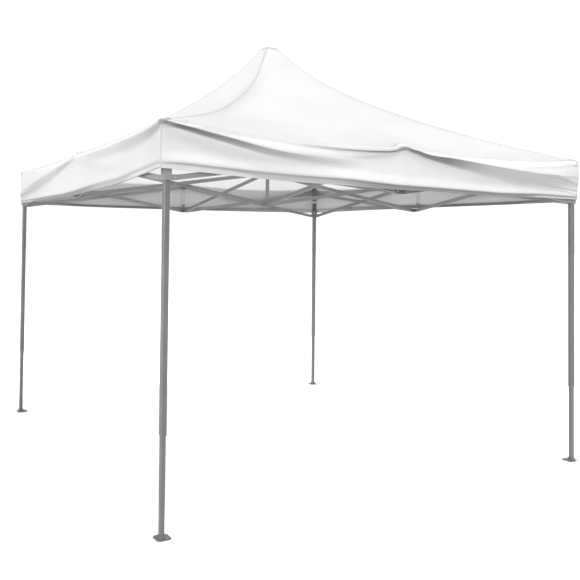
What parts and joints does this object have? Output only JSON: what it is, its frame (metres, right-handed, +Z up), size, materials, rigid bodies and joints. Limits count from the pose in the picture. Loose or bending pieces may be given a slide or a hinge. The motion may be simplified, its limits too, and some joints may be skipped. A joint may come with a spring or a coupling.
{
  "type": "folding canopy tent",
  "caption": "Square pop-up canopy tent: folding scissor frame on telescopic legs, centre pole, and a pitched white fabric cover with side flaps.",
  "frame": {"origin": "on the ground under the centre pole, in the middle of the four feet", "axes": "+Z up; X and Y along the sides; the front side faces -Y"},
  "size_m": [3, 3, 2.8894],
  "materials": {
    "frame_steel": "light grey powder coat, satin",
    "bracket_plastic": "mid grey moulded nylon",
    "cover_fabric": "white coated polyester, plain weave"
  },
  "bodies": {
    "cover_and_hub": {"hub_top": "bracket_plastic", "roof_front": "cover_fabric", "roof_right": "cover_fabric", "roof_back": "cover_fabric", "roof_left": "cover_fabric", "valance_front": "cover_fabric", "valance_right": "cover_fabric", "valance_back": "cover_fabric", "valance_left": "cover_fabric"},
    "rafter_high_front": {"rafter_high_front": "frame_steel"},
    "mid_bracket_bottom_front": {"mid_bracket_bottom_front": "bracket_plastic"},
    "rafter_low_front": {"rafter_low_front": "frame_steel"},
    "mid_bracket_top_front": {"mid_bracket_top_front": "bracket_plastic"},
    "hub_bottom": {"hub_bottom": "bracket_plastic"},
    "centre_pole": {"centre_pole": "frame_steel"},
    "truss_high_front_left": {"truss_high_front_left": "frame_steel"},
    "truss_low_front_left": {"truss_low_front_left": "frame_steel"},
    "leg_front_left": {"leg_upper_front_left": "frame_steel", "corner_bracket_front_left": "bracket_plastic"},
    "slider_front_left": {"slider_front_left": "bracket_plastic"},
    "foot_front_left": {"leg_lower_front_left": "frame_steel"},
    "truss_high_front_right": {"truss_high_front_right": "frame_steel"},
    "truss_low_front_right": {"truss_low_front_right": "frame_steel"},
    "rafter_high_right": {"rafter_high_right": "frame_steel"},
    "mid_bracket_bottom_right": {"mid_bracket_bottom_right": "bracket_plastic"},
    "rafter_low_right": {"rafter_low_right": "frame_steel"},
    "mid_bracket_top_right": {"mid_bracket_top_right": "bracket_plastic"},
    "truss_high_right_left": {"truss_high_right_left": "frame_steel"},
    "truss_low_right_left": {"truss_low_right_left": "frame_steel"},
    "leg_front_right": {"leg_upper_front_right": "frame_steel", "corner_bracket_front_right": "bracket_plastic"},
    "slider_front_right": {"slider_front_right": "bracket_plastic"},
    "foot_front_right": {"leg_lower_front_right": "frame_steel"},
    "truss_high_right_right": {"truss_high_right_right": "frame_steel"},
    "truss_low_right_right": {"truss_low_right_right": "frame_steel"},
    "rafter_high_back": {"rafter_high_back": "frame_steel"},
    "mid_bracket_bottom_back": {"mid_bracket_bottom_back": "bracket_plastic"},
    "rafter_low_back": {"rafter_low_back": "frame_steel"},
    "mid_bracket_top_back": {"mid_bracket_top_back": "bracket_plastic"},
    "truss_high_back_left": {"truss_high_back_left": "frame_steel"},
    "truss_low_back_left": {"truss_low_back_left": "frame_steel"},
    "leg_back_right": {"leg_upper_back_right": "frame_steel", "corner_bracket_back_right": "bracket_plastic"},
    "slider_back_right": {"slider_back_right": "bracket_plastic"},
    "foot_back_right": {"leg_lower_back_right": "frame_steel"},
    "truss_high_back_right": {"truss_high_back_right": "frame_steel"},
    "truss_low_back_right": {"truss_low_back_right": "frame_steel"},
    "rafter_high_left": {"rafter_high_left": "frame_steel"},
    "mid_bracket_bottom_left": {"mid_bracket_bottom_left": "bracket_plastic"},
    "rafter_low_left": {"rafter_low_left": "frame_steel"},
    "mid_bracket_top_left": {"mid_bracket_top_left": "bracket_plastic"},
    "truss_high_left_left": {"truss_high_left_left": "frame_steel"},
    "truss_low_left_left": {"truss_low_left_left": "frame_steel"},
    "leg_back_left": {"leg_upper_back_left": "frame_steel", "corner_bracket_back_left": "bracket_plastic"},
    "slider_back_left": {"slider_back_left": "bracket_plastic"},
    "foot_back_left": {"leg_lower_back_left": "frame_steel"},
    "truss_high_left_right": {"truss_high_left_right": "frame_steel"},
    "truss_low_left_right": {"truss_low_left_right": "frame_steel"}
  },
  "joints": [
    {"name": "frame_fold", "type": "hinge", "parent": "cover_and_hub", "child": "rafter_high_front", "pos_m": [0, -0.045, 1.93], "axis": [1, 0, 0], "range_deg": [0, 78]},
    {"name": "mid_bracket_bottom_front_pivot", "type": "hinge", "parent": "rafter_high_front", "child": "mid_bracket_bottom_front", "pos_m": [0, -1.436, 1.71], "axis": [1, 0, 0], "range_deg": [-78, 0]},
    {"name": "rafter_cross_front_pivot", "type": "hinge", "parent": "rafter_high_front", "child": "rafter_low_front", "pos_m": [0, -0.7405, 1.82], "axis": [1, 0, 0], "range_deg": [-156, 0]},
    {"name": "mid_bracket_top_front_pivot", "type": "hinge", "parent": "rafter_low_front", "child": "mid_bracket_top_front", "pos_m": [0, -1.436, 1.93], "axis": [1, 0, 0], "range_deg": [0, 78]},
    {"name": "hub_bottom_pivot", "type": "hinge", "parent": "rafter_low_front", "child": "hub_bottom", "pos_m": [0, -0.045, 1.71], "axis": [1, 0, 0], "range_deg": [0, 78]},
    {"name": "centre_pole_slide", "type": "slide", "parent": "cover_and_hub", "child": "centre_pole", "axis": [0, 0, -1], "range_m": [0, 0.838]},
    {"name": "truss_high_front_left_pivot", "type": "hinge", "parent": "mid_bracket_bottom_front", "child": "truss_high_front_left", "pos_m": [-0.034, -1.47, 1.71], "axis": [0, 1, 0], "range_deg": [0, 78]},
    {"name": "truss_cross_front_left_pivot", "type": "hinge", "parent": "truss_high_front_left", "child": "truss_low_front_left", "pos_m": [-0.7295, -1.47, 1.82], "axis": [0, 1, 0], "range_deg": [-156, 0]},
    {"name": "leg_front_left_pivot", "type": "hinge", "parent": "truss_high_front_left", "child": "leg_front_left", "pos_m": [-1.425, -1.47, 1.93], "axis": [0, 1, 0], "range_deg": [-78, 0]},
    {"name": "slider_front_left_pivot", "type": "hinge", "parent": "truss_low_front_left", "child": "slider_front_left", "pos_m": [-1.425, -1.47, 1.71], "axis": [0, 1, 0], "range_deg": [0, 78]},
    {"name": "leg_slide_front_left", "type": "slide", "parent": "leg_front_left", "child": "foot_front_left", "axis": [0, 0, 1], "range_m": [-0.2, 0.46]},
    {"name": "truss_high_front_right_pivot", "type": "hinge", "parent": "mid_bracket_bottom_front", "child": "truss_high_front_right", "pos_m": [0.034, -1.47, 1.71], "axis": [0, -1, 0], "range_deg": [0, 78]},
    {"name": "truss_cross_front_right_pivot", "type": "hinge", "parent": "truss_high_front_right", "child": "truss_low_front_right", "pos_m": [0.7295, -1.47, 1.82], "axis": [0, -1, 0], "range_deg": [-156, 0]},
    {"name": "rafter_high_right_pivot", "type": "hinge", "parent": "cover_and_hub", "child": "rafter_high_right", "pos_m": [0.045, 0, 1.93], "axis": [0, 1, 0], "range_deg": [0, 78]},
    {"name": "mid_bracket_bottom_right_pivot", "type": "hinge", "parent": "rafter_high_right", "child": "mid_bracket_bottom_right", "pos_m": [1.436, 0, 1.71], "axis": [0, 1, 0], "range_deg": [-78, 0]},
    {"name": "rafter_cross_right_pivot", "type": "hinge", "parent": "rafter_high_right", "child": "rafter_low_right", "pos_m": [0.7405, 0, 1.82], "axis": [0, 1, 0], "range_deg": [-156, 0]},
    {"name": "mid_bracket_top_right_pivot", "type": "hinge", "parent": "rafter_low_right", "child": "mid_bracket_top_right", "pos_m": [1.436, 0, 1.93], "axis": [0, 1, 0], "range_deg": [0, 78]},
    {"name": "truss_high_right_left_pivot", "type": "hinge", "parent": "mid_bracket_bottom_right", "child": "truss_high_right_left", "pos_m": [1.47, -0.034, 1.71], "axis": [-1, 0, 0], "range_deg": [0, 78]},
    {"name": "truss_cross_right_left_pivot", "type": "hinge", "parent": "truss_high_right_left", "child": "truss_low_right_left", "pos_m": [1.47, -0.7295, 1.82], "axis": [-1, 0, 0], "range_deg": [-156, 0]},
    {"name": "leg_front_right_pivot", "type": "hinge", "parent": "truss_high_right_left", "child": "leg_front_right", "pos_m": [1.47, -1.425, 1.93], "axis": [-1, 0, 0], "range_deg": [-78, 0]},
    {"name": "slider_front_right_pivot", "type": "hinge", "parent": "truss_low_right_left", "child": "slider_front_right", "pos_m": [1.47, -1.425, 1.71], "axis": [-1, 0, 0], "range_deg": [0, 78]},
    {"name": "leg_slide_front_right", "type": "slide", "parent": "leg_front_right", "child": "foot_front_right", "axis": [0, 0, 1], "range_m": [-0.2, 0.46]},
    {"name": "truss_high_right_right_pivot", "type": "hinge", "parent": "mid_bracket_bottom_right", "child": "truss_high_right_right", "pos_m": [1.47, 0.034, 1.71], "axis": [1, 0, 0], "range_deg": [0, 78]},
    {"name": "truss_cross_right_right_pivot", "type": "hinge", "parent": "truss_high_right_right", "child": "truss_low_right_right", "pos_m": [1.47, 0.7295, 1.82], "axis": [1, 0, 0], "range_deg": [-156, 0]},
    {"name": "rafter_high_back_pivot", "type": "hinge", "parent": "cover_and_hub", "child": "rafter_high_back", "pos_m": [0, 0.045, 1.93], "axis": [-1, 0, 0], "range_deg": [0, 78]},
    {"name": "mid_bracket_bottom_back_pivot", "type": "hinge", "parent": "rafter_high_back", "child": "mid_bracket_bottom_back", "pos_m": [0, 1.436, 1.71], "axis": [-1, 0, 0], "range_deg": [-78, 0]},
    {"name": "rafter_cross_back_pivot", "type": "hinge", "parent": "rafter_high_back", "child": "rafter_low_back", "pos_m": [0, 0.7405, 1.82], "axis": [-1, 0, 0], "range_deg": [-156, 0]},
    {"name": "mid_bracket_top_back_pivot", "type": "hinge", "parent": "rafter_low_back", "child": "mid_bracket_top_back", "pos_m": [0, 1.436, 1.93], "axis": [-1, 0, 0], "range_deg": [0, 78]},
    {"name": "truss_high_back_left_pivot", "type": "hinge", "parent": "mid_bracket_bottom_back", "child": "truss_high_back_left", "pos_m": [0.034, 1.47, 1.71], "axis": [0, -1, 0], "range_deg": [0, 78]},
    {"name": "truss_cross_back_left_pivot", "type": "hinge", "parent": "truss_high_back_left", "child": "truss_low_back_left", "pos_m": [0.7295, 1.47, 1.82], "axis": [0, -1, 0], "range_deg": [-156, 0]},
    {"name": "leg_back_right_pivot", "type": "hinge", "parent": "truss_high_back_left", "child": "leg_back_right", "pos_m": [1.425, 1.47, 1.93], "axis": [0, -1, 0], "range_deg": [-78, 0]},
    {"name": "slider_back_right_pivot", "type": "hinge", "parent": "truss_low_back_left", "child": "slider_back_right", "pos_m": [1.425, 1.47, 1.71], "axis": [0, -1, 0], "range_deg": [0, 78]},
    {"name": "leg_slide_back_right", "type": "slide", "parent": "leg_back_right", "child": "foot_back_right", "axis": [0, 0, 1], "range_m": [-0.2, 0.46]},
    {"name": "truss_high_back_right_pivot", "type": "hinge", "parent": "mid_bracket_bottom_back", "child": "truss_high_back_right", "pos_m": [-0.034, 1.47, 1.71], "axis": [0, 1, 0], "range_deg": [0, 78]},
    {"name": "truss_cross_back_right_pivot", "type": "hinge", "parent": "truss_high_back_right", "child": "truss_low_back_right", "pos_m": [-0.7295, 1.47, 1.82], "axis": [0, 1, 0], "range_deg": [-156, 0]},
    {"name": "rafter_high_left_pivot", "type": "hinge", "parent": "cover_and_hub", "child": "rafter_high_left", "pos_m": [-0.045, 0, 1.93], "axis": [0, -1, 0], "range_deg": [0, 78]},
    {"name": "mid_bracket_bottom_left_pivot", "type": "hinge", "parent": "rafter_high_left", "child": "mid_bracket_bottom_left", "pos_m": [-1.436, 0, 1.71], "axis": [0, -1, 0], "range_deg": [-78, 0]},
    {"name": "rafter_cross_left_pivot", "type": "hinge", "parent": "rafter_high_left", "child": "rafter_low_left", "pos_m": [-0.7405, 0, 1.82], "axis": [0, -1, 0], "range_deg": [-156, 0]},
    {"name": "mid_bracket_top_left_pivot", "type": "hinge", "parent": "rafter_low_left", "child": "mid_bracket_top_left", "pos_m": [-1.436, 0, 1.93], "axis": [0, -1, 0], "range_deg": [0, 78]},
    {"name": "truss_high_left_left_pivot", "type": "hinge", "parent": "mid_bracket_bottom_left", "child": "truss_high_left_left", "pos_m": [-1.47, 0.034, 1.71], "axis": [1, 0, 0], "range_deg": [0, 78]},
    {"name": "truss_cross_left_left_pivot", "type": "hinge", "parent": "truss_high_left_left", "child": "truss_low_left_left", "pos_m": [-1.47, 0.7295, 1.82], "axis": [1, 0, 0], "range_deg": [-156, 0]},
    {"name": "leg_back_left_pivot", "type": "hinge", "parent": "truss_high_left_left", "child": "leg_back_left", "pos_m": [-1.47, 1.425, 1.93], "axis": [1, 0, 0], "range_deg": [-78, 0]},
    {"name": "slider_back_left_pivot", "type": "hinge", "parent": "truss_low_left_left", "child": "slider_back_left", "pos_m": [-1.47, 1.425, 1.71], "axis": [1, 0, 0], "range_deg": [0, 78]},
    {"name": "leg_slide_back_left", "type": "slide", "parent": "leg_back_left", "child": "foot_back_left", "axis": [0, 0, 1], "range_m": [-0.2, 0.46]},
    {"name": "truss_high_left_right_pivot", "type": "hinge", "parent": "mid_bracket_bottom_left", "child": "truss_high_left_right", "pos_m": [-1.47, -0.034, 1.71], "axis": [-1, 0, 0], "range_deg": [0, 78]},
    {"name": "truss_cross_left_right_pivot", "type": "hinge", "parent": "truss_high_left_right", "child": "truss_low_left_right", "pos_m": [-1.47, -0.7295, 1.82], "axis": [-1, 0, 0], "range_deg": [-156, 0]}
  ],
  "couplings": [
    {"joint": "mid_bracket_bottom_front_pivot", "follows": "frame_fold", "ratio": -1},
    {"joint": "rafter_cross_front_pivot", "follows": "frame_fold", "ratio": -2},
    {"joint": "mid_bracket_top_front_pivot", "follows": "frame_fold", "ratio": 1},
    {"joint": "hub_bottom_pivot", "follows": "frame_fold", "ratio": 1},
    {"joint": "centre_pole_slide", "follows": "frame_fold", "m_per_rad": 0.61556},
    {"joint": "truss_high_front_left_pivot", "follows": "frame_fold", "ratio": 1},
    {"joint": "truss_cross_front_left_pivot", "follows": "frame_fold", "ratio": -2},
    {"joint": "leg_front_left_pivot", "follows": "frame_fold", "ratio": -1},
    {"joint": "slider_front_left_pivot", "follows": "frame_fold", "ratio": 1},
    {"joint": "truss_high_front_right_pivot", "follows": "frame_fold", "ratio": 1},
    {"joint": "truss_cross_front_right_pivot", "follows": "frame_fold", "ratio": -2},
    {"joint": "rafter_high_right_pivot", "follows": "frame_fold", "ratio": 1},
    {"joint": "mid_bracket_bottom_right_pivot", "follows": "frame_fold", "ratio": -1},
    {"joint": "rafter_cross_right_pivot", "follows": "frame_fold", "ratio": -2},
    {"joint": "mid_bracket_top_right_pivot", "follows": "frame_fold", "ratio": 1},
    {"joint": "truss_high_right_left_pivot", "follows": "frame_fold", "ratio": 1},
    {"joint": "truss_cross_right_left_pivot", "follows": "frame_fold", "ratio": -2},
    {"joint": "leg_front_right_pivot", "follows": "frame_fold", "ratio": -1},
    {"joint": "slider_front_right_pivot", "follows": "frame_fold", "ratio": 1},
    {"joint": "truss_high_right_right_pivot", "follows": "frame_fold", "ratio": 1},
    {"joint": "truss_cross_right_right_pivot", "follows": "frame_fold", "ratio": -2},
    {"joint": "rafter_high_back_pivot", "follows": "frame_fold", "ratio": 1},
    {"joint": "mid_bracket_bottom_back_pivot", "follows": "frame_fold", "ratio": -1},
    {"joint": "rafter_cross_back_pivot", "follows": "frame_fold", "ratio": -2},
    {"joint": "mid_bracket_top_back_pivot", "follows": "frame_fold", "ratio": 1},
    {"joint": "truss_high_back_left_pivot", "follows": "frame_fold", "ratio": 1},
    {"joint": "truss_cross_back_left_pivot", "follows": "frame_fold", "ratio": -2},
    {"joint": "leg_back_right_pivot", "follows": "frame_fold", "ratio": -1},
    {"joint": "slider_back_right_pivot", "follows": "frame_fold", "ratio": 1},
    {"joint": "truss_high_back_right_pivot", "follows": "frame_fold", "ratio": 1},
    {"joint": "truss_cross_back_right_pivot", "follows": "frame_fold", "ratio": -2},
    {"joint": "rafter_high_left_pivot", "follows": "frame_fold", "ratio": 1},
    {"joint": "mid_bracket_bottom_left_pivot", "follows": "frame_fold", "ratio": -1},
    {"joint": "rafter_cross_left_pivot", "follows": "frame_fold", "ratio": -2},
    {"joint": "mid_bracket_top_left_pivot", "follows": "frame_fold", "ratio": 1},
    {"joint": "truss_high_left_left_pivot", "follows": "frame_fold", "ratio": 1},
    {"joint": "truss_cross_left_left_pivot", "follows": "frame_fold", "ratio": -2},
    {"joint": "leg_back_left_pivot", "follows": "frame_fold", "ratio": -1},
    {"joint": "slider_back_left_pivot", "follows": "frame_fold", "ratio": 1},
    {"joint": "truss_high_left_right_pivot", "follows": "frame_fold", "ratio": 1},
    {"joint": "truss_cross_left_right_pivot", "follows": "frame_fold", "ratio": -2}
  ]
}
